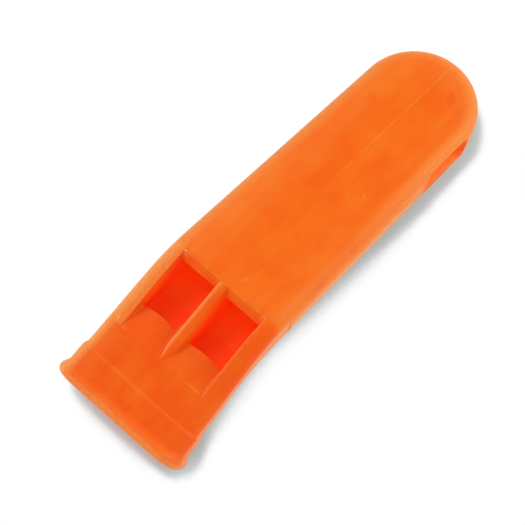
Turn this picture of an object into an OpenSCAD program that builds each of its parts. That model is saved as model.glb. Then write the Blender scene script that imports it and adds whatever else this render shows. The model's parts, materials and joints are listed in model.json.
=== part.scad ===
// Flat pealess two-tone whistle in moulded plastic.
// Two half shells are welded on the centre plane, with a divider plate held between them.
// A windway plate sits in front of each window, and a collar with a bite lip closes the beak.
// Lengths are in mm. The model lies as it does on a table: on its lip and its tail.

/* [Body] */
// Length from the sounding edge to the tail end
body_length = 53.5; // [48:0.5:60]
// Width at the sounding edge
body_width = 22.2; // [21.8:0.1:23]
// Width where the rounded tail begins
tail_width = 19.9; // [19:0.1:21.5]
// Depth of the body from top face to underside
body_depth = 9.4; // [9.2:0.1:10]
// Inward lean of the side faces, in degrees
side_draft = 7; // [4:0.5:9]
// Radius of the top edges
top_edge_r = 2.3; // [1.8:0.1:2.5]
// Radius of the bottom edges
bottom_edge_r = 2.1; // [1.5:0.1:2.3]

/* [Beak] */
// Downward slope of the beak, in degrees
beak_slope = 23.9; // [23.4:0.1:25]
// Thickness of the beak, square to its slope
beak_depth = 6.7; // [6.4:0.1:7]
// Radius of the bend from the top face into the beak
beak_bend_r = 19.7; // [18:0.1:21]
// Widening of each side of the beak per mm of length
beak_flare = 0.03; // [0:0.005:0.05]

/* [Windows] */
// Half width of the pair of windows
window_half = 8.5; // [8:0.1:8.6]
// Distance from the sounding edge to the windway exit
cut_up = 9.75; // [9:0.05:10.5]
// Distance from the sounding edge to the front of the windway plates
plate_front = 14.6; // [14.2:0.1:15]
// Depth of the sounding edge bevel
bevel_depth = 1.6; // [1:0.1:1.7]
// Reach of the bevel toward the mouth
bevel_reach = 1.1; // [0.6:0.1:1.4]
// Bow of the rear edge of each windway plate
plate_bow = 0.5; // [0.2:0.1:0.8]

/* [Chambers] */
// Length of the left chamber behind the sounding edge
left_chamber = 19; // [15:0.5:22]
// Length of the right chamber behind the sounding edge
right_chamber = 23; // [15:0.5:23]
// Thickness of the top wall
top_wall = 1.8; // [1.5:0.1:2.2]
// Thickness of the bottom wall
bottom_wall = 1.6; // [1.4:0.1:2]
// Rise of the chamber floor toward the tail, in degrees
floor_rise = 6; // [3:0.5:8]

/* [Collar] */
// Distance from the sounding edge to the rear of the collar
collar_start = 19.4; // [18.8:0.1:20]
// Length of the collar along the beak
collar_length = 6.5; // [6:0.1:7.5]
// Step of the collar above the beak
collar_step = 0.3; // [0.2:0.05:0.5]
// Sideways reach of the lip beyond the collar
lip_side = 0.5; // [0.2:0.1:1.2]
// Reach of the lip above the collar
lip_rise = 1.4; // [0.9:0.1:1.8]
// Reach of the lip below the collar
lip_fall = 0.9; // [0.7:0.1:1.4]

/* [Lanyard slot] */
// Near end of the slot behind the sounding edge
slot_start = 36.2; // [35.8:0.1:37]
// Length of the slot at mid width
slot_length = 8.2; // [7:0.1:8.6]
// Height of the slot at mid width
slot_height = 5; // [4.6:0.1:5.2]
// Flare of the slot at the side faces
slot_flare = 1.3; // [0.5:0.1:1.4]

/* [Joints] */
// Thickness of the centre divider
divider_t = 1.6; // [1.2:0.1:2]
// Diameter of the locating pins
pin_d = 2; // [1.5:0.1:2.2]
// Gap around each fitted piece
fit_gap = 0.03; // [0.02:0.01:0.06]

/* [Hidden] */
$fn = 48;
plastic = [0.96, 0.38, 0.09];
far = 60;

// Centre of the round tail
tail_r = tail_width / 2;
tail_x = body_length - tail_r;
half_t = divider_t / 2;

// Beak frame: u runs out of the mouth along the slope, v is square to it
bc = cos(beak_slope);
bs = sin(beak_slope);
bend_x = 2.5;
bend_end = bend_x - beak_bend_r * bs;
bend_drop = beak_bend_r * (1 - bc);
step_x = -collar_start;
step_z = -top_drop(step_x);
mouth_u = collar_length - 0.3;

function top_drop(x) =
    x > bend_x ? 0
    : x > bend_end ? beak_bend_r - sqrt(pow(beak_bend_r, 2) - pow(x - bend_x, 2))
    : bend_drop + tan(beak_slope) * (bend_end - x);

// Underside: flat body, then a hollow bend into the underside of the beak
under_cross = bend_end - (body_depth - bend_drop - beak_depth / bc) / tan(beak_slope);
under_r = 14;
under_t = under_r * tan(beak_slope / 2);
under_start = under_cross + under_t;
under_end = under_cross - under_t * bc;
function under_drop(x) =
    x > under_start ? body_depth
    : x > under_end ? body_depth + under_r - sqrt(pow(under_r, 2) - pow(x - under_start, 2))
    : body_depth + tan(beak_slope) * (under_cross - x);

function half_width(x) =
    x > 0 ? body_width / 2 - (body_width - tail_width) / 2 * x / tail_x
    : body_width / 2 - beak_flare * x;

// Point [x, z] of the body from beak coordinates u and v
function beak(u, v) = [step_x - u * bc - v * bs, step_z - u * bs + v * bc];

// Half section [y, z] from top centre to bottom centre
function half_section(w, zt, zb, rt, rb, a) =
    let (
        ty = w - rt,
        tz = zt - rt,
        ay = ty + rt * cos(a),
        az = tz - rt * sin(a),
        by = ay + (sin(a) * (zb + rb - az) - rb) / cos(a),
        bz = zb + rb
    )
    concat(
        [[0, zt]],
        [for (i = [0 : 8]) let (t = 90 - i * (90 + a) / 8) [ty + rt * cos(t), tz + rt * sin(t)]],
        [for (i = [0 : 6]) let (t = -a - i * (90 - a) / 6) [by + rb * cos(t), bz + rb * sin(t)]],
        [[0, zb]]
    );

function body_section(x) =
    half_section(half_width(x), -top_drop(x), -under_drop(x), top_edge_r, bottom_edge_r, side_draft);

// Solid through a list of sections, each a list of [x, y, z]; a looped one is a ring with a hole
module loft(rings, looped = false) {
    n = len(rings[0]);
    m = len(rings);
    points = [for (r = rings) each r];
    sides = [
        for (k = [0 : looped ? m - 1 : m - 2], i = [0 : n - 1])
            let (a = k * n, b = (k + 1) % m * n, j = (i + 1) % n)
            each [[a + i, a + j, b + j], [a + i, b + j, b + i]]
    ];
    front = [for (i = [n - 1 : -1 : 0]) i];
    back = [for (i = [0 : n - 1]) (m - 1) * n + i];
    polyhedron(points = points, faces = looped ? sides : concat(sides, [front, back]), convexity = 6);
}

function ring_at(x) = [for (p = body_section(x)) [x, p[0], p[1]]];

// Shape drawn as a side view [x, z] and given a width from y0 to y1
module side_view(points, y0, y1) {
    translate([0, y1, 0])
        rotate([90, 0, 0])
            linear_extrude(height = y1 - y0)
                polygon(points);
}

// Shape drawn as a section [y, v] of the beak and given a length from u0 to u1
module along_beak(points, u0, u1) {
    translate([step_x, 0, step_z])
        rotate([0, -beak_slope, 0])
            mirror([1, 0, 0])
                translate([u0, 0, 0])
                    rotate([90, 0, 90])
                        linear_extrude(height = u1 - u0)
                            polygon(points);
}

// Outside of the left half, before the beak is trimmed
module half_outside() {
    stations = concat([for (x = [-24 : 1 : 1]) x], [bend_x, tail_x]);
    loft([for (x = stations) ring_at(x)]);
    translate([tail_x, 0, 0])
        rotate_extrude(angle = 90)
            polygon(body_section(tail_x));
}

// Nose of the shell that fits inside the collar
nose_half = half_width(step_x) - 0.7;
nose_top = -0.7;
nose_bottom = 0.7 - beak_depth;
function nose_section(g) =
    half_section(nose_half + g, nose_top + g, nose_bottom - g, 1.6, 1.4, side_draft);
function whole(section) =
    concat(section, [for (i = [len(section) - 2 : -1 : 1]) [-section[i][0], section[i][1]]]);

// Windway: roof and floor run straight from the mouth to the exit, aimed at the sounding edge
facet_front = [-plate_front, -top_drop(-plate_front)];
facet_rear = [-cut_up, facet_front[1] + 0.6];
exit_top = facet_rear - [0, 0.6];
exit_floor = exit_top - [0, 1.1];
roof_front = beak(mouth_u + 1, -2.2);
floor_front = beak(mouth_u + 1, -4.5);
function on_line(a, b, x) = a[1] + (b[1] - a[1]) * (x - a[0]) / (b[0] - a[0]);
function roof_z(x) = on_line(roof_front, exit_top, x);
windway = [
    roof_front, exit_top, [-cut_up + 1, exit_top[1]],
    [-cut_up + 1, exit_floor[1]], exit_floor, floor_front
];

// Opening above the windway plates and the chamber
window = [
    [-plate_front, 3],
    [-plate_front, roof_z(-plate_front)],
    exit_top,
    exit_floor,
    [-bevel_reach, exit_floor[1]],
    [-bevel_reach, -bevel_depth],
    [0, -top_drop(0)],
    [0, 3]
];

// Resonance chamber, longer or shorter for the two tones
floor_z = bottom_wall - body_depth;
floor_bend = -5;
function chamber(length) = [
    exit_top,
    exit_floor,
    [-cut_up + 0.3, floor_z],
    [floor_bend, floor_z],
    [length, floor_z + (length - floor_bend) * tan(floor_rise)],
    [length, -top_wall],
    [3, -top_wall],
    [-bevel_reach, -bevel_depth]
];

// Divider plate: rib in the windows, wall between the chambers, septum in the mouth
rib_end = [-0.1, -0.2];
rib_tip = facet_front;
rib_slope = atan((rib_end[1] - rib_tip[1]) / (rib_end[0] - rib_tip[0]));
rib_length = norm(rib_end - rib_tip);
divider_end = max(left_chamber, right_chamber) + 1;
seat_top = 0.8 - top_wall;
seat_floor = floor_z - 0.8;
divider_rear = [
    [-0.1, seat_top],
    [divider_end, seat_top],
    [divider_end, seat_floor],
    [-cut_up + 1.2, seat_floor],
    exit_floor - [0.3, 0.6],
    beak(mouth_u - 0.6, -5),
    beak(mouth_u - 0.6, -1.7),
    [-plate_front - 0.6, roof_z(-plate_front - 0.6) + 0.6]
];
divider_seat = concat([rib_tip, rib_end], divider_rear);
crest_shift = half_t * [sin(rib_slope), -cos(rib_slope)];
divider_body = concat([rib_tip + crest_shift, rib_end + crest_shift], divider_rear);

// Tongue that holds each windway plate in the side wall
tongue_x = [-plate_front + 0.7, -plate_front + 3];
tongue_z = [facet_front[1] - 0.45, facet_front[1] + 0.05];
tongue_y = window_half + 0.5;

// Closed cell between the chambers and the lanyard slot
cell_x = [28, 33];
cell_half = 7.6;

// Locating pins: one in the bulkhead, one in the tail
pins = [[26, -5], [tail_x + 6.6, -5]];
pin_reach = 1.8;

// Raised blank panel on the side face
panel_x = 3;
panel_length = 29;
panel_z = -4.9;
panel_height = 3.8;
panel_rise = 0.2;
panel_y = half_width(panel_x) - top_edge_r * (1 - cos(side_draft))
    + (panel_z + top_edge_r * (1 + sin(side_draft))) * tan(side_draft);
taper = atan((body_width - tail_width) / 2 / tail_x);

module side_panel() {
    translate([panel_x, panel_y, panel_z])
        rotate([0, 0, -taper])
            rotate([-side_draft, 0, 0])
                translate([0, -1, -panel_height / 2])
                    cube([panel_length, 1 + panel_rise, panel_height]);
}

// Lanyard slot through both sides, with bell mouths at the side faces
slot_floor = floor_z + 0.25;
slot_top = slot_floor + slot_height;
slot_end = slot_start + slot_length;
bell_start = 6.6;
bell_width = 3.2;
bell = [
    for (i = [0 : 6])
        let (t = i / 6)
        [bell_start + bell_width * t, slot_flare * (1 - sqrt(1 - t * t * 0.98))]
];
slot_plan = concat(
    [[slot_end, -2], [slot_start, -2]],
    [for (b = bell) [slot_start - b[1], b[0]]],
    [[slot_start - slot_flare, 14], [slot_end + slot_flare, 14]],
    [for (i = [6 : -1 : 0]) [slot_end + bell[i][1], bell[i][0]]]
);
slot_section = concat(
    [[-2, slot_top], [-2, slot_floor]],
    [for (b = bell) [b[0], slot_floor - b[1]]],
    [[14, slot_floor - slot_flare], [14, slot_top + slot_flare]],
    [for (i = [6 : -1 : 0]) [bell[i][0], slot_top + bell[i][1]]]
);

module lanyard_slot() {
    intersection() {
        translate([0, 0, -20])
            linear_extrude(height = 30)
                polygon(slot_plan);
        translate([slot_start - 5, 0, 0])
            rotate([90, 0, 90])
                linear_extrude(height = slot_length + 10)
                    polygon(slot_section);
    }
}

module half_shell(chamber_length) {
    difference() {
        union() {
            difference() {
                half_outside();
                along_beak([[-1, -30], [30, -30], [30, 20], [-1, 20]], 0, 30);
            }
            along_beak(nose_section(0), -1.5, mouth_u);
            side_panel();
        }
        side_view(window, -1, window_half);
        side_view(windway, -1, window_half);
        side_view(chamber(chamber_length), -1, window_half);
        side_view(divider_seat, -1, half_t + fit_gap);
        translate([tongue_x[0] - fit_gap, 0, tongue_z[0] - fit_gap])
            cube([
                tongue_x[1] - tongue_x[0] + 2 * fit_gap,
                tongue_y + fit_gap,
                tongue_z[1] - tongue_z[0] + 2 * fit_gap
            ]);
        translate([cell_x[0], -1, floor_z])
            cube([cell_x[1] - cell_x[0], cell_half + 1, -top_wall - floor_z]);
        lanyard_slot();
    }
}

module left_shell() {
    color(plastic) {
        half_shell(left_chamber);
        for (p = pins)
            translate([p[0], 1, p[1]])
                rotate([90, 0, 0])
                    cylinder(d = pin_d, h = 1 + pin_reach);
    }
}

module right_shell() {
    color(plastic)
        difference() {
            mirror([0, 1, 0])
                half_shell(right_chamber);
            for (p = pins)
                translate([p[0], 1, p[1]])
                    rotate([90, 0, 0])
                        cylinder(d = pin_d + 2 * fit_gap, h = 1 + pin_reach + 0.2);
        }
}

module centre_divider() {
    color(plastic) {
        side_view(divider_body, -half_t, half_t);
        translate([rib_tip[0] + crest_shift[0], 0, rib_tip[1] + crest_shift[1]])
            rotate([0, 90 - rib_slope, 0])
                cylinder(r = half_t, h = rib_length);
    }
}

// Windway plate on the left: a wedge with a crowned top, a bowed rear edge and a side tongue
plate_y0 = half_t + fit_gap;
plate_y1 = window_half - fit_gap;
plate_mid = (plate_y0 + plate_y1) / 2;
plate_chord = (plate_y1 - plate_y0) / 2;
bow_r = (pow(plate_chord, 2) + pow(plate_bow, 2)) / (2 * plate_bow);
crown = 0.3;
crown_r = (pow(plate_chord, 2) + pow(crown, 2)) / (2 * crown);
facet_slope = atan((facet_rear[1] - facet_front[1]) / (facet_rear[0] - facet_front[0]));
plate_side = [
    [-plate_front + fit_gap, roof_z(-plate_front)],
    [-plate_front + fit_gap, 0],
    [-cut_up + 1, 0],
    [-cut_up + 1, roof_z(-cut_up + 1)]
];

module windway_plate() {
    intersection() {
        side_view(plate_side, plate_y0, plate_y1);
        translate([-cut_up + plate_bow - bow_r, plate_mid, -20])
            cylinder(r = bow_r, h = 40, $fn = 180);
        translate([facet_front[0], plate_mid, facet_front[1]])
            rotate([0, 90 - facet_slope, 0])
                translate([crown_r, 0, -10])
                    cylinder(r = crown_r, h = 30, $fn = 180);
    }
    translate([tongue_x[0], plate_y1 - 0.5, tongue_z[0]])
        cube([tongue_x[1] - tongue_x[0], tongue_y - plate_y1 + 0.5, tongue_z[1] - tongue_z[0]]);
}

module left_windway_plate() {
    color(plastic)
        windway_plate();
}

module right_windway_plate() {
    color(plastic)
        mirror([0, 1, 0])
            windway_plate();
}

// Mouth collar: sleeve on the nose, with a lip flared to all sides
lip_start = collar_length - 2.9;
lip_nose = 1.25;
lip_peak = collar_length - lip_nose;
lip_round = 1.05;
function lip_flare(u) =
    u < lip_start ? 0
    : u < lip_peak ? (1 - cos(180 * (u - lip_start) / (lip_peak - lip_start))) / 2
    : 1;
function lip_inset(u) =
    u < 0.2 ? 0.12 * (0.2 - u) / 0.2
    : u < lip_peak ? 0
    : lip_round * (1 - sqrt(max(0, 1 - pow((u - lip_peak) / lip_nose, 2))));
function collar_half(u) =
    half_width(step_x - u * bc) + collar_step + lip_side * lip_flare(u) - lip_inset(u);
function collar_section(u) =
    let (
        f = lip_flare(u),
        rise = collar_step + lip_rise * f - lip_inset(u),
        fall = collar_step + lip_fall * f - lip_inset(u)
    )
    whole(half_section(
        collar_half(u), rise, -beak_depth - fall,
        2.4 + 1.1 * f, 2.2 + 0.3 * f, side_draft * (1 - 0.2 * f)
    ));
collar_stations = concat(
    [0, 0.2, lip_start],
    [for (i = [1 : 8]) lip_start + (lip_peak - lip_start) * i / 8],
    [for (i = [1 : 7]) lip_peak + lip_nose * sin(90 * i / 7)]
);
collar_outside = [
    for (i = [len(collar_stations) - 1 : -1 : 0])
        let (u = collar_stations[i])
        [for (p = collar_section(u)) [-u, p[0], p[1]]]
];
collar_hole = [for (u = [0, collar_length]) [for (p = whole(nose_section(fit_gap))) [-u, p[0], p[1]]]];

module mouth_collar() {
    color(plastic)
        translate([step_x, 0, step_z])
            rotate([0, -beak_slope, 0])
                loft(concat(collar_outside, collar_hole), looped = true);
}

// Lie of the whistle on a table: the lip and the round of the tail touch it
tail_section = body_section(tail_x);
tail_point = tail_section[len(tail_section) - 2];
tail_round = [tail_x + tail_point[0], tail_point[1] + bottom_edge_r];
lip_low = beak(lip_peak, -beak_depth - collar_step - lip_fall);
rest_line = tail_round - lip_low;
rest_tilt = atan2(rest_line[1], rest_line[0]) - asin(bottom_edge_r / norm(rest_line));
collar_points = [for (r = collar_outside, p = r) beak(-p[0], p[2])];
front_x = min([for (p = collar_points) p[0] * cos(rest_tilt) + p[1] * sin(rest_tilt)]);
low_z = min([for (p = collar_points) p[1] * cos(rest_tilt) - p[0] * sin(rest_tilt)]);
rear_x = (body_length - top_edge_r) * cos(rest_tilt) - top_edge_r * sin(rest_tilt) + top_edge_r;

module set_down() {
    translate([-(front_x + rear_x) / 2, 0, -low_z])
        rotate([0, rest_tilt, 0])
            children();
}

set_down() left_shell();
set_down() right_shell();
set_down() centre_divider();
set_down() left_windway_plate();
set_down() right_windway_plate();
set_down() mouth_collar();
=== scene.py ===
import json
import math

import bmesh
import bpy
import numpy as np
from mathutils import Euler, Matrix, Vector


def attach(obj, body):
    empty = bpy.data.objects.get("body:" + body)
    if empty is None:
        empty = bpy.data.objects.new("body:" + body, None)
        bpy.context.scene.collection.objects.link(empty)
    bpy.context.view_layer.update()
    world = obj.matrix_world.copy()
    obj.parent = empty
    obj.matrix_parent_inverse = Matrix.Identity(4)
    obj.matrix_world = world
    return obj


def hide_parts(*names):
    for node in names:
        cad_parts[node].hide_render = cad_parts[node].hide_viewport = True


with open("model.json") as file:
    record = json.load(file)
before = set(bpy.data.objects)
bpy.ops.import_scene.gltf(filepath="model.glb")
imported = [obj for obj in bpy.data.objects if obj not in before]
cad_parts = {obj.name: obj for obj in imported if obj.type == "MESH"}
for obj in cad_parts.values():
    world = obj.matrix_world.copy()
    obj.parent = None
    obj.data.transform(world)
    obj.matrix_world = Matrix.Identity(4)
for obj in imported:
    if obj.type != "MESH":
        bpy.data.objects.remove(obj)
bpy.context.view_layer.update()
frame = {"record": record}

# How the whistle lies: on a table, on its lip and the round of its tail.
# Its pieces are drawn in mm in the frame they are moulded in: x from the sounding edge to the tail,
# y to the left, z up from the top face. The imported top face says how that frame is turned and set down.
mm_per_m = 1000
top_face = next(m for m in frame["record"]["mounts"] if m["name"] == "top_face")
top_face_mark = np.array([18.0, 4.0, 0.0])
lie = math.atan2(top_face["axis"][0], top_face["axis"][2])


def on_table(points):
    x, y, z = (np.asarray(points, float).reshape(-1, 3) - top_face_mark).T
    turned = np.stack([
        x * math.cos(lie) + z * math.sin(lie),
        y,
        z * math.cos(lie) - x * math.sin(lie),
    ], axis=1)
    return turned / mm_per_m + np.array(top_face["pos_m"])


# Two half shells: body, beak and the nose inside the collar, split on the centre plane.
# Injection-moulded in one opaque orange plastic, satin from the mould, and welded along the seam.
# Each half has a window, a chamber of its own length behind it and half of the lanyard slot.
body_length = 53.5
tail_half = 9.95
edge_half = 11.1
body_depth = 9.4
side_draft = math.radians(7)
top_edge_r = 2.3
bottom_edge_r = 2.1
tail_x = body_length - tail_half

beak_slope = math.radians(23.9)
beak_depth = 6.7
beak_bend_r = 19.7
beak_flare = 0.03
bend_start = 2.5
bend_end = bend_start - beak_bend_r * math.sin(beak_slope)
bend_drop = beak_bend_r * (1 - math.cos(beak_slope))

under_bend_r = 14.0
under_drop = body_depth - bend_drop - beak_depth / math.cos(beak_slope)
under_cross = bend_end - under_drop / math.tan(beak_slope)
under_start = under_cross + under_bend_r * math.tan(beak_slope / 2)
under_end = under_cross - under_bend_r * math.tan(beak_slope / 2) * math.cos(beak_slope)

collar_start = 19.4
collar_length = 6.5
nose_setback = 0.3
mouth_u = collar_length - nose_setback


def top_line(x):
    if x > bend_start:
        return 0.0
    if x > bend_end:
        return math.sqrt(beak_bend_r ** 2 - (x - bend_start) ** 2) - beak_bend_r
    return -bend_drop - math.tan(beak_slope) * (bend_end - x)


def underside(x):
    if x > under_start:
        return -body_depth
    if x > under_end:
        return math.sqrt(under_bend_r ** 2 - (x - under_start) ** 2) - under_bend_r - body_depth
    return -body_depth - math.tan(beak_slope) * (under_cross - x)


def half_width(x):
    if x > 0:
        return edge_half - (edge_half - tail_half) * x / tail_x
    return edge_half - beak_flare * x


# Point of the beak: u runs out of the mouth along the slope, v stands square on it.
def beak_point(u, v):
    x = -collar_start - u * math.cos(beak_slope) - v * math.sin(beak_slope)
    z = top_line(-collar_start) - u * math.sin(beak_slope) + v * math.cos(beak_slope)
    return np.array([x, z])


window_half = 8.5
window_front = -14.6
bevel_reach = 1.1
bevel_depth = 1.6
wall_edge_r = 0.28
nib = 0.16

plate_rear = -9.75
facet_rise = 0.6
plate_thickness = 0.6
windway_height = 1.1
facet_front = np.array([window_front, top_line(window_front)])
facet_rear = np.array([plate_rear, facet_front[1] + facet_rise])
exit_roof = facet_rear - [0, plate_thickness]
exit_floor = exit_roof - [0, windway_height]
mouth_roof = beak_point(mouth_u + 1, -2.2)
mouth_floor = beak_point(mouth_u + 1, -4.5)

bottom_wall = 1.6
top_wall = 1.8
chamber_floor = bottom_wall - body_depth
chamber_roof = -top_wall
roof_level_x = 3
floor_bend = -5.0
floor_rise = math.tan(math.radians(6))
floor_step_run = 0.3


def on_line(a, b, x):
    return a[1] + (b[1] - a[1]) * (x - a[0]) / (b[0] - a[0])


def windway_roof(x):
    return on_line(mouth_roof, exit_roof, x)


def windway_floor(x):
    return on_line(mouth_floor, exit_floor, x)


def air_floor(x):
    if x < exit_floor[0]:
        return windway_floor(x)
    foot = exit_floor + [floor_step_run, chamber_floor - exit_floor[1]]
    if x < foot[0]:
        return on_line(exit_floor, foot, x)
    return chamber_floor + max(0, x - floor_bend) * floor_rise


def air_roof(x):
    under_bevel = (-bevel_reach, -bevel_depth - nib)
    return on_line(under_bevel, (roof_level_x, chamber_roof), min(x, roof_level_x))


# Distance from the top line down a leaning plane to another line of the side view, by halving.
def depth_to(line, x, lean):
    low, high = -2.0, 25.0
    for _ in range(44):
        middle = (low + high) / 2
        if top_line(x) - middle * math.cos(lean) > line(x + middle * math.sin(lean)):
            low = middle
        else:
            high = middle
    return low


top_arc_points, bottom_arc_points = 15, 12
side_shares = (0.2, 0.4, 0.6, 0.8)
under_shares = (0.75, 0.5, 0.25, 0)
outside_points = top_arc_points + len(side_shares) + bottom_arc_points + len(under_shares)


# Outside of a half section, from where the top face ends to the bottom centre.
def half_profile(width, top, bottom, top_r, bottom_r, draft):
    turn = np.linspace(math.pi / 2, -draft, top_arc_points)
    upper = np.stack([width - top_r + top_r * np.cos(turn), top - top_r + top_r * np.sin(turn)], axis=1)
    run = math.sin(draft) * (bottom + bottom_r - upper[-1][1]) - bottom_r
    centre = np.array([upper[-1][0] + run / math.cos(draft), bottom + bottom_r])
    turn = np.linspace(-draft, -math.pi / 2, bottom_arc_points)
    lower = centre + bottom_r * np.stack([np.cos(turn), np.sin(turn)], axis=1)
    side = [upper[-1] + (lower[0] - upper[-1]) * t for t in side_shares]
    under = [(lower[-1][0] * t, bottom) for t in under_shares]
    return [tuple(p) for p in [*upper, *side, *lower, *under]]


# How far a value has come from start to end, held between 0 and 1.
def share(value, start, end):
    return min(1, max(0, (value - start) / (end - start)))


# How pale each point of that half section is painted: most at the side and the lower edge. Partly wear
# and partly painted light: a painted highlight on the top edge of the lit left side, and painted
# reflection on the right side face and round the tail.
def edge_wear_and_highlight(side, x):
    if side > 0:
        side_face = 0.55
        first, top_edge = 0.35, 0.85
        if x <= 0:
            first, top_edge = 0.15, 1.25
        if window_front < x <= 0:
            first = 0.5
    else:
        side_face = 0.9
        first, top_edge = 0.1, 0.3 + 0.4 * share(x, 24, 36)
        if x <= 0:
            first, top_edge = 0.05, 0.05
    round_tail = share(x, tail_x, tail_x + 5)
    first += (0.3 - first) * round_tail
    top_edge += (0.75 - top_edge) * round_tail
    side_face += (0.7 - side_face) * round_tail
    places = [0, 5, 12, 16, 20, 30, outside_points - 1]
    pale_marks = [first, top_edge, top_edge, side_face, side_face, 0.5, 0.0]
    return np.interp(np.arange(outside_points), places, pale_marks)


# The same for the flat top, painted paler toward its edges, most on the lit left side, as painted
# highlight; and for the rim of an open window, whose wear is painted 1.8 times paler on the left as
# painted highlight.
def top_wear_and_highlight(side, x, points, first):
    if window_front - 0.01 <= x <= 0:
        return points[:, 3] * (1.8 if side > 0 else 1)
    out = np.hypot(points[:, 1], np.maximum(points[:, 0] - tail_x, 0))
    return first * np.clip((out - 2) / 6.8, 0, 1) ** (1.5 if x > 0 else 5)


nose_inset = 0.7
nose_half = half_width(-collar_start) - nose_inset
nose_top = -nose_inset
nose_bottom = nose_inset - beak_depth
nose_top_r, nose_bottom_r = 1.6, 1.4

top_points, corner_points, roof_points = 8, 6, 6
outside_start = top_points + corner_points
floor_corner_r = 0.6
rim_rub = 0.35
# How far the chamber and the windway are painted redder and made to glow: painted shade and glow for
# light bounced inside the hollows.
chamber_shade_and_glow = 0.72
windway_shade_and_glow = 1.0


# Closed half section on a leaning plane: the outside, then the air space if there is one.
# No roof means the window is open there; bevel lowers the top behind the sounding edge.
def shell_ring(x, lean=0.0, floor=None, roof=None, bevel=0.0, nose=False):
    top, bottom = 0.0, -depth_to(underside, x, lean)
    outside = half_profile(half_width(x), top, bottom, top_edge_r, bottom_edge_r, side_draft)
    if nose:
        top, bottom = nose_top, nose_bottom
        outside = half_profile(nose_half, top, bottom, nose_top_r, nose_bottom_r, side_draft)
    opened = floor is not None and roof is None
    inner_edge = min(window_half, outside[0][0] - 0.3)
    deep = depth_to(floor, x, lean) if floor else -bottom
    waist = -0.62 * deep
    if opened:
        upper = [(inner_edge, v) for v in np.linspace(waist, -wall_edge_r, top_points)]
    else:
        upper = [(y, top - bevel) for y in np.linspace(0, inner_edge, top_points)]
    r = wall_edge_r if opened else min(bevel, wall_edge_r)
    turn = np.linspace(0, math.pi / 2, corner_points)
    corner = [(inner_edge + r * (1 - math.cos(t)), top - r * (1 - math.sin(t))) for t in turn]
    if floor is None:
        inside = [(0.0, v) for v in np.linspace(bottom, top, 21)[1:-1]]
    else:
        high = depth_to(roof, x, lean) if roof else -waist
        r = min(floor_corner_r, 0.4 * (deep - high))
        inside = [(y, -deep) for y in np.linspace(0, window_half - r, 5)]
        turn = np.linspace(0, math.pi / 2, 5)[1:]
        inside += [(window_half - r * (1 - math.sin(t)), -deep + r * (1 - math.cos(t))) for t in turn]
        if opened:
            inside += [(window_half, v) for v in np.linspace(-deep + r, waist, 12)[1:-1]]
        else:
            inside += [(window_half, v) for v in np.linspace(-deep + r, -high, 5)[1:]]
            inside += [(y, -high) for y in np.linspace(window_half, 0, roof_points + 1)[1:]]
    section = np.array([*upper, *corner, *outside, *inside])
    y, v = section.T
    worn, inner = np.zeros(len(section)), np.zeros(len(section))
    if opened or bevel:
        worn[top_points - 1:outside_start] = rim_rub
    if opened:
        # Under a window the walls are painted redder and glowing further down, as painted shade and glow.
        under_window = share(x, plate_rear, plate_rear + 1.2)
        inner[:top_points] = under_window * np.clip((-v[:top_points] - 1.0) / 2.5, 0, chamber_shade_and_glow)
    # The air spaces are painted redder and glowing, as painted shade and glow.
    if floor:
        inner[-len(inside):] = windway_shade_and_glow if x < floor_bend else chamber_shade_and_glow
    ring = np.stack([x - v * math.sin(lean), y, top_line(x) + v * math.cos(lean)], axis=1)
    return np.column_stack([ring, worn, inner])


def bevel_at(x):
    return top_line(x) - on_line((-bevel_reach, -bevel_depth), (0, top_line(0)), x)


# A roofed ring with its roof drawn aside to the wall, for where the roof starts or ends.
def folded(ring):
    ring = ring.copy()
    ring[:top_points, 1] = window_half
    ring[-roof_points:, 1] = window_half
    return ring


lean_start = -9.9
ring_gap = 0.03


# Every ring of a half shell, from the end of the tail to the mouth.
def shell_rings(chamber_length):
    tail = shell_ring(tail_x)
    rings = []
    for turn in np.radians(np.arange(90, 0, -4.5)):
        ring = tail.copy()
        ring[:, 0] = tail_x + tail[:, 1] * math.sin(turn)
        ring[:, 1] = tail[:, 1] * math.cos(turn)
        rings.append(ring)
    rings += [shell_ring(x) for x in np.linspace(tail_x, chamber_length, 14)]
    behind = [*np.linspace(chamber_length, bend_start, 9), 1.6, 0.8, 0.0]
    rings += [shell_ring(x, 0, air_floor, air_roof) for x in behind]
    for x in (-0.04, -0.12, -0.3, -0.6, -bevel_reach):
        rings.append(shell_ring(x, 0, air_floor, air_roof, bevel_at(x)))
    rings.append(folded(rings[-1]))
    window = [*np.linspace(-bevel_reach - ring_gap, floor_bend + ring_gap, 8)]
    window += [*np.linspace(floor_bend - ring_gap, -9.5, 9), plate_rear]
    window += [*np.linspace(lean_start, window_front + ring_gap, 11)]
    for x in window:
        lean = beak_slope * share(x, lean_start, window_front)
        rings.append(shell_ring(x, lean, air_floor))
    beak = np.linspace(window_front, -collar_start, 8)
    beak_rings = [shell_ring(x, beak_slope, windway_floor, windway_roof) for x in beak]
    rings += [folded(beak_rings[0]), *beak_rings]
    for u in np.linspace(0, mouth_u, 4):
        x = -collar_start - u * math.cos(beak_slope)
        rings.append(shell_ring(x, beak_slope, windway_floor, windway_roof, nose=True))
    return rings
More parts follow.
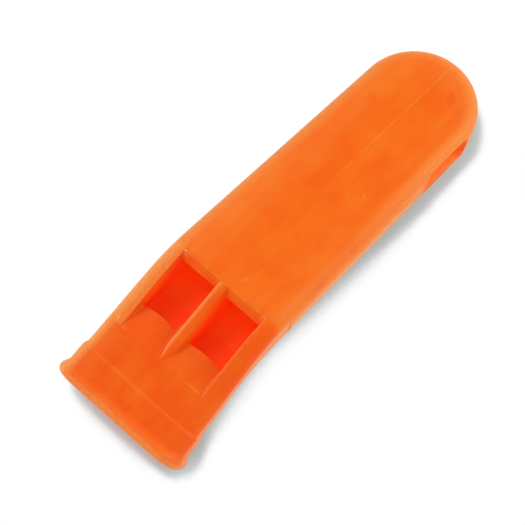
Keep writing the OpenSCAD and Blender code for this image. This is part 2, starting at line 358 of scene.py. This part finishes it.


# Mesh through a row of rings, each a list of x, y, z, wear with painted highlight and, in the air spaces,
# painted cavity shade and glow.
def skin(name, rings, looped=False):
    rings = np.array(rings)
    count, n = rings.shape[:2]
    mesh = bpy.data.meshes.new(name)
    spans = range(count if looped else count - 1)
    faces = []
    for k in spans:
        a, b = k * n, (k + 1) % count * n
        faces += [(a + i, a + (i + 1) % n, b + (i + 1) % n, b + i) for i in range(n)]
    if not looped:
        faces += [tuple(range(n)), tuple(range((count - 1) * n, count * n))]
    mesh.from_pydata(on_table(rings[:, :, :3]).tolist(), [], faces)
    for column, mark in enumerate(("wear", "inner")[:rings.shape[2] - 3]):
        marks = mesh.attributes.new(mark, "FLOAT", "POINT")
        marks.data.foreach_set("value", rings[:, :, 3 + column].ravel().astype(np.float32))
    cleaned = bmesh.new()
    cleaned.from_mesh(mesh)
    bmesh.ops.remove_doubles(cleaned, verts=cleaned.verts, dist=2e-6)
    bmesh.ops.dissolve_degenerate(cleaned, dist=1e-6, edges=cleaned.edges)
    bmesh.ops.recalc_face_normals(cleaned, faces=cleaned.faces)
    cleaned.to_mesh(mesh)
    cleaned.free()
    piece = bpy.data.objects.new(name, mesh)
    bpy.context.scene.collection.objects.link(piece)
    return piece


def smooth(piece, angle=38):
    piece.data.shade_smooth()
    piece.data.set_sharp_from_angle(angle=math.radians(angle))


slot_middle = np.array([40.3, -5.05])
slot_half = np.array([4.1, 2.5])
slot_flare = 1.2
slot_corner_r = 0.9
slot_corners = [np.array(corner) for corner in ((1, 1), (-1, 1), (-1, -1), (1, -1))]
bell_start, bell_end = 6.4, 9.9


# Lanyard slot of one half: a rounded oblong that opens like a bell at the side face.
def slot_rings(side):
    rings = []
    for y in [-2, 0.02, 3, *np.linspace(bell_start, bell_end, 9), 14]:
        t = share(y, bell_start, bell_end)
        flare = slot_flare * (1 - math.sqrt(1 - 0.98 * t * t))
        ring = []
        for quarter, corner in enumerate(slot_corners):
            for turn in np.linspace(0, math.pi / 2, 7) + quarter * math.pi / 2:
                out = np.array([math.cos(turn), math.sin(turn)])
                x, z = slot_middle + corner * (slot_half - slot_corner_r) + out * (slot_corner_r + flare)
                ring.append((x, side * y, z))
        rings.append(ring)
    return rings


def cut(piece, tool):
    step = piece.modifiers.new("slot", "BOOLEAN")
    step.operation = "DIFFERENCE"
    step.solver = "EXACT"
    step.object = tool
    seen = bpy.context.evaluated_depsgraph_get()
    whole = bpy.data.meshes.new_from_object(piece.evaluated_get(seen))
    whole.name = piece.name
    piece.modifiers.remove(step)
    piece.data = whole
    bpy.data.objects.remove(tool)


slot_reach = (5.5, 3.9)
slot_rim = 9.3


# The lower wall of the slot is painted pale, fading deeper in, as a painted highlight where it faces up
# to the light; its upper edge is left darker. Deeper in and at its end at the tail it is painted redder
# with a painted glow, for light coming through the plastic.
def mark_slot(piece):
    middle = on_table([slot_middle[0], 0, slot_middle[1]])
    spots = (np.array([v.co for v in piece.data.vertices]) - middle) * mm_per_m
    x = spots[:, 0] * math.cos(lie) - spots[:, 2] * math.sin(lie)
    z = spots[:, 0] * math.sin(lie) + spots[:, 2] * math.cos(lie)
    depth = slot_rim - abs(spots[:, 1])
    inside = (abs(x) < slot_reach[0]) & (abs(z) < slot_reach[1]) & (depth > 0)
    wear = piece.data.attributes["wear"].data
    inner = piece.data.attributes["inner"].data
    for i in np.flatnonzero(inside).tolist():
        low = share(z[i], 0.4, -2.6)
        deep = share(depth[i], 0, 3)
        tail_end = share(x[i], 2.5, 4)
        wear[i].value = 1.2 * low * (1 - 0.6 * deep)
        inner[i].value = 0.1 + 0.1 * deep + 0.4 * tail_end


class Wire:
    """A shader socket that Python expressions can use."""

    def __init__(self, socket):
        self.socket = socket

    def node(self, kind, settings=None, inputs=None, output=0):
        tree = self.socket.id_data
        made = tree.nodes.new(kind)
        for key, value in (settings or {}).items():
            if key == "stops":
                while len(made.color_ramp.elements) < len(value):
                    made.color_ramp.elements.new(1.0)
                for element, (place, colour) in zip(made.color_ramp.elements, value):
                    element.position = place
                    element.color = colour
            else:
                setattr(made, key, value)
        for key, value in (inputs or {}).items():
            if isinstance(value, Wire):
                tree.links.new(value.socket, made.inputs[key])
            else:
                made.inputs[key].default_value = value
        return Wire(made.outputs[output])

    def maths(self, operation, first, second=0.0, clamped=False):
        settings = {"operation": operation, "use_clamp": clamped}
        return self.node("ShaderNodeMath", settings, {0: first, 1: second})

    def __add__(self, other):
        return self.maths("ADD", self, other)

    __radd__ = __add__

    def __sub__(self, other):
        return self.maths("SUBTRACT", self, other)

    def __rsub__(self, other):
        return self.maths("SUBTRACT", other, self)

    def __mul__(self, other):
        return self.maths("MULTIPLY", self, other)

    __rmul__ = __mul__

    def __truediv__(self, other):
        return self.maths("DIVIDE", self, other)

    def __rtruediv__(self, other):
        return self.maths("DIVIDE", other, self)

    def __abs__(self):
        return self.maths("ABSOLUTE", self)

    def held(self):
        return self.maths("ADD", self, 0.0, clamped=True)


orange = (0.91, 0.166, 0.0055, 1)
orange_deep = (0.90, 0.092, 0.0010, 1)
orange_pale = (0.93, 0.43, 0.105, 1)
# Painted shade and glow for the air spaces: a redder base colour and a red emission stand in for light
# bounced inside the hollows; the glow is painted light, not a lamp.
orange_cavity_shade = (0.98, 0.072, 0.001, 1)
painted_cavity_glow = [
    (0, (0, 0, 0, 1)),
    (0.35, (0.14, 0.03, 0.001, 1)),
    (0.7, (0.13, 0.006, 0, 1)),
    (1, (0.13, 0.004, 0, 1)),
]
sheen_tint = (1, 0.64, 0.3, 1)
beak_shade_start = -13.0
seam_start = -13.2
seam_half = 0.09


# Moulded plastic: a fine satin grain, slow flow marks, faint scratches and paler edges, partly worn and
# partly painted highlight and reflection.
# The seam of the two halves is a pale broken hairline on the centre plane, clearest near the tail.
# Scuffs and smudges lie on the faces that look up: place, half length, half width, turn, strength.
def moulded_plastic(name, seam=0.0, scratches=1.0, paleness=0.0, scuffs=(), smudges=()):
    material = bpy.data.materials.new(name)
    material.use_nodes = True
    tree = material.node_tree
    shader = tree.nodes["Principled BSDF"]
    place = Wire(tree.nodes.new("ShaderNodeTexCoord").outputs["Object"])
    mm = place.node("ShaderNodeVectorMath", {"operation": "SCALE"}, {0: place, "Scale": mm_per_m})
    along = mm.node("ShaderNodeSeparateXYZ", {}, {0: mm}, output=0)
    aside = mm.node("ShaderNodeSeparateXYZ", {}, {0: mm}, output=1)
    normal = mm.node("ShaderNodeTexCoord", {}, {}, output="Normal")
    upward = mm.node("ShaderNodeSeparateXYZ", {}, {0: normal}, output=2)
    facing = ((upward - 0.6) * 5).held()

    def spot(x, y, half_length, half_width, turn):
        middle = on_table([x, y, top_line(x)])[0] * mm_per_m
        c, s = math.cos(math.radians(turn)), math.sin(math.radians(turn))
        u = (along - middle[0]) * (c / half_length) + (aside - middle[1]) * (s / half_length)
        v = (aside - middle[1]) * (c / half_width) - (along - middle[0]) * (s / half_width)
        return (1 - u * u - v * v).held() * facing

    def noise(scale, detail=2.0, stretch=(1, 1, 1)):
        stretched = mm.node("ShaderNodeMapping", {}, {"Vector": mm, "Scale": stretch})
        inputs = {"Vector": stretched, "Scale": scale, "Detail": detail, "Roughness": 0.5}
        return mm.node("ShaderNodeTexNoise", {}, inputs)

    mottle = noise(0.16, 4.0)
    flow = noise(0.5, 3.0, (0.12, 1, 1))
    grain = noise(5.0, 2.0)
    specks = noise(1.6, 3.0)
    hair = noise(1.0, 2.0, (0.16, 2.6, 2.6))
    hairline = ((hair - 0.69) * 14).held() * scratches
    wear = mm.node("ShaderNodeAttribute", {"attribute_name": "wear"}, {}, output=2)
    pale_wear_and_highlight = wear * (specks * 0.5 + 0.25)
    # The beak, which faces away from the light, is painted deeper orange: painted shade.
    beak = (beak_shade_start - along).held()
    blotch = mottle * 0.6 + flow * 0.4 + grain * 0.3 - 0.1 - beak * 0.19
    for *place_and_size, strength in smudges:
        blotch = blotch - spot(*place_and_size) * strength
    tone = blotch.node(
        "ShaderNodeValToRGB", {"stops": [(0.28, orange_deep), (0.70, orange)]}, {0: blotch},
    )
    pale = (pale_wear_and_highlight + hairline * 0.1 + paleness).held()
    for *place_and_size, strength in scuffs:
        pale = (pale + spot(*place_and_size) * (specks * strength)).held()
    if seam:
        kept = noise(0.4, 2.0, (1, 0, 0)) + ((along - 8) / 10).held() * 0.3 - 0.6
        line = (1 - abs(aside) / seam_half).held() * (specks * 1.4 - 0.2).held() * (kept * 9).held()
        pale = (pale + line * seam * ((along - seam_start) * 4).held()).held()
    colour = tone.node(
        "ShaderNodeMix", {"data_type": "RGBA"}, {0: pale, 6: tone, 7: orange_pale}, output=2,
    )
    # The air spaces take the redder colour and a red emission: painted shade and glow.
    inner = mm.node("ShaderNodeAttribute", {"attribute_name": "inner"}, {}, output=2)
    colour = colour.node(
        "ShaderNodeMix", {"data_type": "RGBA"}, {0: inner, 6: colour, 7: orange_cavity_shade}, output=2,
    )
    glow = inner.node("ShaderNodeValToRGB", {"stops": painted_cavity_glow}, {0: inner})
    rough = 0.34 + mottle * 0.12 + grain * 0.06 + hairline * 0.1
    height = grain * 0.5 + flow * 0.8 + mottle * 0.6 - hairline * 0.5
    bump = height.node(
        "ShaderNodeBump", {}, {"Strength": 0.35, "Distance": 0.00006, "Height": height},
    )
    tree.links.new(colour.socket, shader.inputs["Base Color"])
    tree.links.new(rough.socket, shader.inputs["Roughness"])
    tree.links.new(bump.socket, shader.inputs["Normal"])
    tree.links.new(glow.socket, shader.inputs["Emission Color"])
    shader.inputs["Emission Strength"].default_value = 1.0
    shader.inputs["IOR"].default_value = 1.5
    shader.inputs["Specular IOR Level"].default_value = 0.12
    shader.inputs["Sheen Weight"].default_value = 0.18
    shader.inputs["Sheen Roughness"].default_value = 0.3
    shader.inputs["Sheen Tint"].default_value = sheen_tint
    return material


top_scuffs = [
    (2.4, -1.9, 1.3, 0.35, -12, 0.3),
    (25.6, -5.4, 0.65, 0.12, 59, 0.8),
    (-3.9, 8.7, 0.5, 0.18, 0, 1.0),
    (-13.9, 9.6, 0.4, 0.18, 20, 1.0),
]
top_smudges = [(39.2, 5.4, 1.3, 1.1, 0, 0.2), (47.7, -3.8, 1.5, 0.8, 35, 0.2)]
shell_plastic = moulded_plastic("shell_plastic", seam=0.65, scuffs=top_scuffs, smudges=top_smudges)


def fit(piece, material, *nodes):
    piece.data.materials.clear()
    piece.data.materials.append(material)
    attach(piece, "root")
    if nodes:
        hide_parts(*nodes)


for hand, side, chamber_length in (("left", 1, 19.0), ("right", -1, 23.0)):
    rings = np.array(shell_rings(chamber_length))
    rings[:, :, 1] *= side
    for ring in rings:
        x = ring[outside_start, 0]
        ring[outside_start:outside_start + outside_points, 3] = edge_wear_and_highlight(side, x)
        top = ring[:outside_start]
        top[:, 3] = top_wear_and_highlight(side, x, top, ring[outside_start, 3])
    shell = skin(hand + "_half_shell", rings)
    cut(shell, skin("slot_tool", slot_rings(side)))
    mark_slot(shell)
    smooth(shell)
    fit(shell, shell_plastic, hand + "_shell")

# Side panels: a low raised field on each side face, moulded with its half shell.
# Plain, of the same plastic, with a soft edge all round.
panel_start, panel_end = 3.0, 32.0
panel_low, panel_high = -6.8, -3.0
panel_rise = 0.2
panel_rim = (-0.3, 0.12, 0.19)
panel_lines = (0.0, 0.12, 0.3, 1.2, 2.6, 3.5, 3.68, 3.8)
panel_sunk = 1.6
# How pale the panel is painted on its face, its rim and its hidden back, paler than the side face round
# it.
panel_pale, panel_rim_pale, panel_back_pale = 1.0, 1.15, 0.5


# How far the panel stands out of the side face, so many lines in from its edge.
def panel_stand(line):
    return panel_rim[line] if line < len(panel_rim) else panel_rise


def panel_rings(side):
    rings = []
    stations = [panel_start, panel_start + 0.12, panel_start + 0.3, *np.linspace(4, 31, 10),
                panel_end - 0.3, panel_end - 0.12, panel_end]
    for i, x in enumerate(stations):
        from_end = min(i, len(stations) - 1 - i)
        foot = half_width(x) - top_edge_r * (1 - math.cos(side_draft))
        ring = []
        for j, line in enumerate(panel_lines):
            from_rim = min(j, len(panel_lines) - 1 - j)
            height = panel_low + line
            face = foot + (height + top_edge_r * (1 + math.sin(side_draft))) * math.tan(side_draft)
            y = face + min(panel_stand(from_end), panel_stand(from_rim))
            on_rim = from_rim in (1, 2) or from_end in (1, 2)
            ring.append((x, side * y, height, panel_rim_pale if on_rim else panel_pale))
        back = side * (half_width(x) - panel_sunk)
        ring += [(x, back, panel_high, panel_back_pale), (x, back, panel_low, panel_back_pale)]
        rings.append(ring)
    return rings


for hand, side in (("left", 1), ("right", -1)):
    panel = skin(hand + "_side_panel", panel_rings(side))
    smooth(panel)
    fit(panel, shell_plastic)

# Flash on the sounding edges: the thin ragged fin that the mould's parting leaves.
# It stands on the corner between the top face and the bevel, thicker at the side walls.
flash_r = 0.08
flash_stations = 160
flash_overlap = 0.1
flash_palest = 1.4


def flash_rings():
    rings = []
    wander = np.random.default_rng(7).normal(0, 1, (flash_stations, 3))
    for k in range(1, 3):
        wander[k:] = 0.55 * wander[k:] + 0.45 * wander[:-k]
    reach = window_half + flash_overlap
    for (thick, drift, tint), y in zip(wander, np.linspace(-reach, reach, flash_stations)):
        r = flash_r * (0.5 + 0.6 * abs(thick))
        pale = min(flash_palest, max(0, 0.35 + 0.8 * tint))
        if window_half - abs(y) < 0.5:
            r, pale = 1.6 * r, flash_palest
        x = -0.05 - 0.5 * r + 0.05 * drift
        z = top_line(0) - 0.02 - r
        turn = np.linspace(0, 2 * math.pi, 9)[:-1]
        rings.append([(x + r * math.cos(t), y, z + r * math.sin(t), pale) for t in turn])
    return rings


flash = skin("sounding_edge_flash", flash_rings())
smooth(flash, 80)
fit(flash, moulded_plastic("flash_plastic", scratches=0.0, paleness=0.25))

# Centre divider: the plate between the two chambers and windways, held in rebates of the shells.
# Moulded in the same plastic; its rounded top edge shows as the rib between the windows.
divider_half = 0.8
rib_half = 1.0
rib_crown = 0.5
rib_rear = np.array([-0.1, -0.2])
rib_front = window_front - 0.4
rib_taper = 4.0
flank_draft = 0.12
foot_sunk = 0.5
crest_behind = -1.0
septum_x = -23.0
divider_end = 24.0


def divider_ring(x):
    half = rib_half * min(1, 0.25 + max(0, (x - window_front) / rib_taper) ** 0.8)
    if x > rib_rear[0]:
        half, crest = divider_half, crest_behind
    elif x > rib_front - 0.01:
        crest = on_line(facet_front, rib_rear, x)
    else:
        half, crest = divider_half, windway_roof(x) + plate_thickness
    foot = air_floor(x) - foot_sunk
    shoulder = crest - rib_crown
    turn = np.linspace(math.pi, 0, 15)
    top = [(half * math.cos(t), shoulder + rib_crown * math.sin(t)) for t in turn]
    depths = np.linspace(0, 1, 7)[1:]
    flank = [(half + flank_draft * t, shoulder + (foot - shoulder) * t) for t in depths]
    section = [(-y, z) for y, z in reversed(flank)] + top + flank
    bare = [0.0] * len(flank)
    # The left shoulder of the crown is painted pale: a painted highlight from light on the left. Under
    # the windows the flanks are painted redder and glowing further down: painted shade and glow.
    pale_wear_and_highlight = bare + [0.9 * math.exp(-((math.cos(t) - 0.7) / 0.35) ** 2) for t in turn] + bare
    under_window = share(x, plate_rear, plate_rear + 1.2)
    inner = [under_window * min(0.8, max(0, (crest - z - 0.3) / 2.2)) for y, z in section]
    return [(x, y, z, pale_mark, depth) for (y, z), pale_mark, depth in zip(section, pale_wear_and_highlight, inner)]


rib_stations = np.linspace(rib_front, rib_rear[0], 40)
divider_stations = [septum_x, -19.0, rib_front - 0.1, *rib_stations, 0.0, 8.0, divider_end]
divider = skin("centre_divider_plate", [divider_ring(x) for x in divider_stations])
smooth(divider)
fit(divider, moulded_plastic("divider_plastic", scratches=0.6), "centre_divider")

# Windway plates: a small wedge in front of each window that roofs the windway.
# Moulded apart and pushed in from the side; crowned on top, with a bowed and rounded rear edge.
plate_bow = 0.5
plate_crown = 0.3
plate_edge_r = 0.16
plate_outer = window_half - 0.02
plate_lap = 0.05
gusset_reach, gusset_width = 4.8, 1.1


# Side view of the plate at one distance from the centre plane.
# The left plate runs on along the divider as a small gusset.
def plate_ring(y, side):
    middle, chord = (divider_half + plate_outer) / 2, (plate_outer - divider_half) / 2
    t = max(-1, (y - middle) / chord)
    rear = plate_rear + plate_bow * (1 - t * t)
    near_rib = max(0, y - divider_half)
    if side > 0:
        rear += gusset_reach * max(0, 1 - near_rib / gusset_width)
    else:
        rear += 0.5 * max(0, 1 - near_rib / 0.5) ** 2
    fillet = 0.3 * max(0, 1 - near_rib / 0.9) ** 2 + 0.35 * max(0, 1 - (plate_outer - y) / 0.6) ** 2

    def height(x):
        along = share(x, window_front, plate_rear)
        return on_line(facet_front, facet_rear, x) - (plate_crown * t * t - fillet) * along

    r = plate_edge_r
    front = window_front - plate_lap
    line = [(front, windway_roof(front)), (front, height(front) - 0.06)]
    line += [(x, height(x)) for x in np.linspace(front + 0.06, rear - r, 12)]
    crest = height(rear - r)
    for turn in np.linspace(math.pi / 2, 0, 6)[1:]:
        line.append((rear - r + r * math.cos(turn), crest - r + r * math.sin(turn)))
    line.append((rear - plate_lap, windway_roof(min(rear, plate_rear + plate_bow))))
    rub_start = 7.2 if side > 0 else 5.6
    front_rub = 0.4 if y > rub_start else 0.0
    worn = [0, front_rub, front_rub] + [0.0] * 11 + [0.3] * 5 + [0]
    return [(x, side * y, z, w) for (x, z), w in zip(line, worn)]


plate_widths = [0.05, 0.4, *np.linspace(divider_half, divider_half + gusset_width, 12)]
plate_widths += [*np.linspace(2.1, 7.8, 20), *np.linspace(7.9, plate_outer, 6)]
for hand, side in (("left", 1), ("right", -1)):
    plate = skin(hand + "_windway_wedge", [plate_ring(y, side) for y in plate_widths])
    smooth(plate)
    fit(plate, moulded_plastic(hand + "_plate_plastic", scratches=0.5), hand + "_windway_plate")

# Mouth collar: the sleeve with the bite lip, pushed over the nose of the welded shells.
# Same plastic; it ends in a small step across the beak and flares to a rounded lip at the mouth.
collar_step = 0.3
step_round, step_reach = 0.26, 0.9
collar_top_r, collar_bottom_r = 2.4, 2.2
lip_side, lip_rise, lip_fall = 0.48, 1.4, 0.89
lip_start = collar_length - 2.9
lip_nose = 1.25
lip_peak = collar_length - lip_nose
lip_round = 1.05
nick_depth, nick_half, nick_start = 0.22, 0.2, 5.4


# Half section of the collar's outside at one place along it, with its top and how far the lip flares.
def collar_half(u):
    flare = 0.0
    if u > lip_start:
        flare = (1 - math.cos(math.pi * min(1, (u - lip_start) / (lip_peak - lip_start)))) / 2
    inset = step_round * max(0, 1 - u / step_reach) ** 2
    if u > lip_peak:
        inset = lip_round * (1 - math.sqrt(max(0, 1 - ((u - lip_peak) / lip_nose) ** 2)))
    beak_half = half_width(-collar_start - u * math.cos(beak_slope))
    width = beak_half + collar_step + lip_side * flare - inset
    top = collar_step + lip_rise * flare - inset
    bottom = -beak_depth - collar_step - lip_fall * flare + inset
    draft = side_draft * (1 - 0.2 * flare)
    top_r, bottom_r = collar_top_r + 1.1 * flare, collar_bottom_r + 0.3 * flare
    return half_profile(width, top, bottom, top_r, bottom_r, draft), top, flare


def both_sides(outside, top):
    across = [(y, top) for y in (0, 0.1, 0.22, 0.4, 0.8, 2, 4, 6)]
    halves = []
    for side in (1, -1):
        pale_mark = [0.0] * len(across) + list(edge_wear_and_highlight(side, -collar_start))
        halves.append([(side * y, v, r) for (y, v), r in zip(across + outside, pale_mark)])
    return halves[0] + halves[1][-2:0:-1]


def collar_ring(u):
    outside, top, flare = collar_half(u)
    # The lip and the small step are painted paler: partly wear, partly painted highlight where they face
    # the light.
    least_wear_and_highlight = 0.3 * flare
    if u > lip_peak:
        least_wear_and_highlight = 0.75 * flare
    elif 0.01 < u < 0.5:
        least_wear_and_highlight = 0.12
    nick = nick_depth * max(0, (u - nick_start) / (collar_length - nick_start))
    ring = []
    for y, v, pale_mark in both_sides(outside, top):
        sunk = nick * math.exp(-(y / nick_half) ** 2) if v > 0 else 0.0
        x, z = beak_point(u, v - sunk)
        ring.append((x, y, z, max(pale_mark, least_wear_and_highlight)))
    return ring


def hole_ring(u, gap):
    top, bottom = nose_top + gap, nose_bottom - gap
    outside = half_profile(nose_half + gap, top, bottom, nose_top_r, nose_bottom_r, side_draft)
    ring = []
    for y, v, _ in both_sides(outside, top):
        x, z = beak_point(u, v)
        ring.append((x, y, z, 0.0))
    return ring


collar_stations = [0, 0.1, 0.2, 0.32, 0.46, 0.65, 0.9, 1.4, 2.4, *np.linspace(lip_start, lip_peak, 12)]
collar_stations += [lip_peak + lip_nose * math.sin(t) for t in np.linspace(0, math.pi / 2, 10)[1:]]
hole_stations = [(0, 0.2), (0.06, 0.09), (0.25, 0.03), (collar_length, 0.03)]
collar_rings = [collar_ring(u) for u in collar_stations]
collar_rings += [hole_ring(collar_length - inward, gap) for inward, gap in hole_stations]
collar = skin("mouth_collar_sleeve", collar_rings, looped=True)
smooth(collar)
fit(collar, moulded_plastic("collar_plastic"), "mouth_collar")

# Table: a plain white sheet of paper that the whistle lies on.
# It shows white to the camera. Its soft shadow falls where the whistle is near, beside or above.
table_half = 0.9
table_corners = [(-1, -1), (1, -1), (1, 1), (-1, 1)]
sheet = bpy.data.meshes.new("table")
sheet.from_pydata([(x * table_half, y * table_half, 0) for x, y in table_corners], [], [(0, 1, 2, 3)])
table = bpy.data.objects.new("table", sheet)
bpy.context.scene.collection.objects.link(table)

paper = bpy.data.materials.new("white_paper")
paper.use_nodes = True
paper.node_tree.nodes.clear()
output = paper.node_tree.nodes.new("ShaderNodeOutputMaterial")
ray = Wire(paper.node_tree.nodes.new("ShaderNodeLightPath").outputs["Is Camera Ray"])
glossy = ray.node("ShaderNodeLightPath", {}, {}, output="Is Glossy Ray")
through = ray.node("ShaderNodeLightPath", {}, {}, output="Is Transmission Ray")
seen = (ray + glossy + through).held()
matt = ray.node("ShaderNodeBsdfDiffuse", {}, {"Color": (0.8, 0.8, 0.8, 1)})
shade = ray.node("ShaderNodeBsdfDiffuse", {}, {"Color": (0.54, 0.76, 0.80, 1)})
white = ray.node("ShaderNodeEmission", {}, {"Color": (1, 1, 1, 1), "Strength": 1.0})


# How open the paper is to one direction, with nothing of the whistle within reach.
def openness(reach, x, y, z):
    toward = ray.node("ShaderNodeCombineXYZ", {}, {0: x, 1: y, 2: z})
    inputs = {"Distance": reach, "Normal": toward}
    return ray.node("ShaderNodeAmbientOcclusion", {"samples": 16}, inputs, output=1)


near = ((openness(0.0045, 0.12, 0.35, 0.93) - 0.62) / 0.14).held()
beside = ((openness(0.008, 0.1, 0.45, 0.88) - 0.18) / 0.22).held()
above = ((openness(0.010, 0, 0, 1) - 0.49) / 0.10).held()
clear = near * beside * above * 0.88 + 0.12
shown = ray.node("ShaderNodeMixShader", {}, {0: clear, 1: shade, 2: white})
mixed = ray.node("ShaderNodeMixShader", {}, {0: seen, 1: matt, 2: shown})
paper.node_tree.links.new(mixed.socket, output.inputs["Surface"])
sheet.materials.append(paper)

# Light: a white tent with a soft lamp high on the left, one low behind on the right
# and a weak one at the mouth. All are the same disc at the same distance, and together
# they light the whistle at a plain level.
world = bpy.data.worlds.new("tent")
bpy.context.scene.world = world
world.use_nodes = True
sky = world.node_tree.nodes["Background"]
sky.inputs["Color"].default_value = (1, 1, 1, 1)
sky.inputs["Strength"].default_value = 0.57

lamp_distance = 0.6
lamp_width = 0.35
lamps = [
    ("key_lamp", 90, 45, 1.3),
    ("rim_lamp", 315, 20, 1.6),
    ("fill_lamp", 190, 25, 0.7),
]
for name, bearing, height, power in lamps:
    bearing, height = math.radians(bearing), math.radians(height)
    toward = Vector((
        math.cos(bearing) * math.cos(height),
        math.sin(bearing) * math.cos(height),
        math.sin(height),
    ))
    lamp_data = bpy.data.lights.new(name, "AREA")
    lamp_data.shape = "DISK"
    lamp_data.size = lamp_width
    lamp_data.energy = power
    lamp = bpy.data.objects.new(name, lamp_data)
    lamp.location = toward * lamp_distance
    lamp.rotation_euler = toward.to_track_quat("Z", "Y").to_euler()
    bpy.context.scene.collection.objects.link(lamp)

# Camera: a long lens high above the mouth end, right of the whistle, with a little roll.
# The whistle lies across the picture, with its mouth at the lower left.
view_azimuth = math.radians(-36.68)
view_height = math.radians(68.96)
view_roll = math.radians(10.77)
view_distance = 0.49372
view_aim = Vector((-0.005856, -0.00051, 0.010))
camera_data = bpy.data.cameras.new("camera")
camera_data.sensor_width = 36
camera_data.lens = 217.85
camera_data.clip_start = 0.01
camera = bpy.data.objects.new("camera", camera_data)
back = Vector((
    math.sin(view_azimuth) * math.cos(view_height),
    -math.cos(view_azimuth) * math.cos(view_height),
    math.sin(view_height),
))
camera.location = view_aim + back * view_distance
level = back.to_track_quat("Z", "Y").to_matrix()
camera.rotation_euler = (level @ Euler((0, 0, -view_roll)).to_matrix()).to_euler()
bpy.context.scene.collection.objects.link(camera)
bpy.context.scene.camera = camera
bpy.context.scene.view_settings.view_transform = "Standard"
